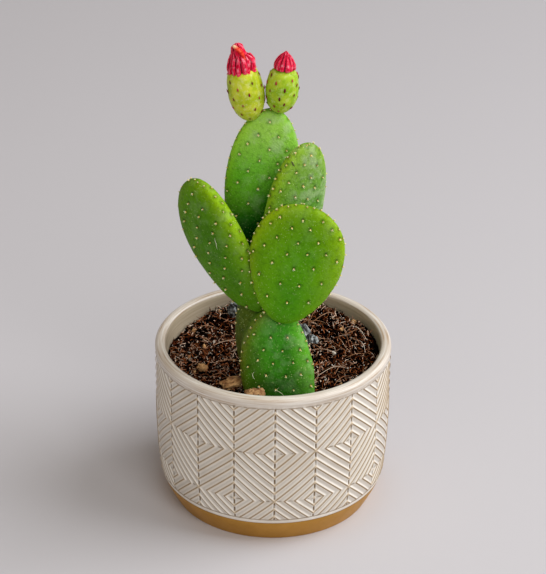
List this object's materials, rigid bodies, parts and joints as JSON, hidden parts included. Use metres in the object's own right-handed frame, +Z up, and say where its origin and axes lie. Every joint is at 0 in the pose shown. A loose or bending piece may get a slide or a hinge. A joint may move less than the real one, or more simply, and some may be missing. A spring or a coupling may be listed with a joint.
{
  "type": "potted paddle cactus",
  "caption": "Paddle cactus of flat oval pads with closed pink flowers on egg-shaped fruits, planted in a round glazed pot with a relief of slanting ribs.",
  "frame": {"origin": "centre of the pot's foot, on the surface that the pot stands on", "axes": "+Z up; the plant's front faces -Y and +X is to the viewer's right"},
  "size_m": [0.12, 0.12, 0.2487],
  "materials": {
    "glaze": "satin",
    "soil": "matte",
    "cactus_skin": "satin",
    "fruit_skin": "satin",
    "petal": "satin",
    "bark": "matte",
    "pebble": "matte",
    "perlite": "matte"
  },
  "bodies": {
    "root": {"pot": "glaze", "soil": "soil", "base_pad": "cactus_skin", "stem_pad": "cactus_skin", "front_pad": "cactus_skin", "left_pad": "cactus_skin", "tall_pad": "cactus_skin", "right_pad": "cactus_skin", "left_fruit": "fruit_skin", "right_fruit": "fruit_skin", "left_bud": "petal", "right_bud": "petal", "left_petal_1": "petal", "left_petal_2": "petal", "left_petal_3": "petal", "left_petal_4": "petal", "left_petal_5": "petal", "left_petal_6": "petal", "left_petal_7": "petal", "right_petal_1": "petal", "right_petal_2": "petal", "right_petal_3": "petal", "right_petal_4": "petal", "right_petal_5": "petal", "right_petal_6": "petal", "bark_chip_1": "bark", "bark_chip_2": "bark", "bark_chip_3": "bark", "pebble_1": "pebble", "pebble_2": "pebble", "pebble_3": "pebble", "perlite_1": "perlite", "perlite_2": "perlite", "perlite_3": "perlite", "perlite_4": "perlite", "perlite_5": "perlite"}
  },
  "joints": []
}
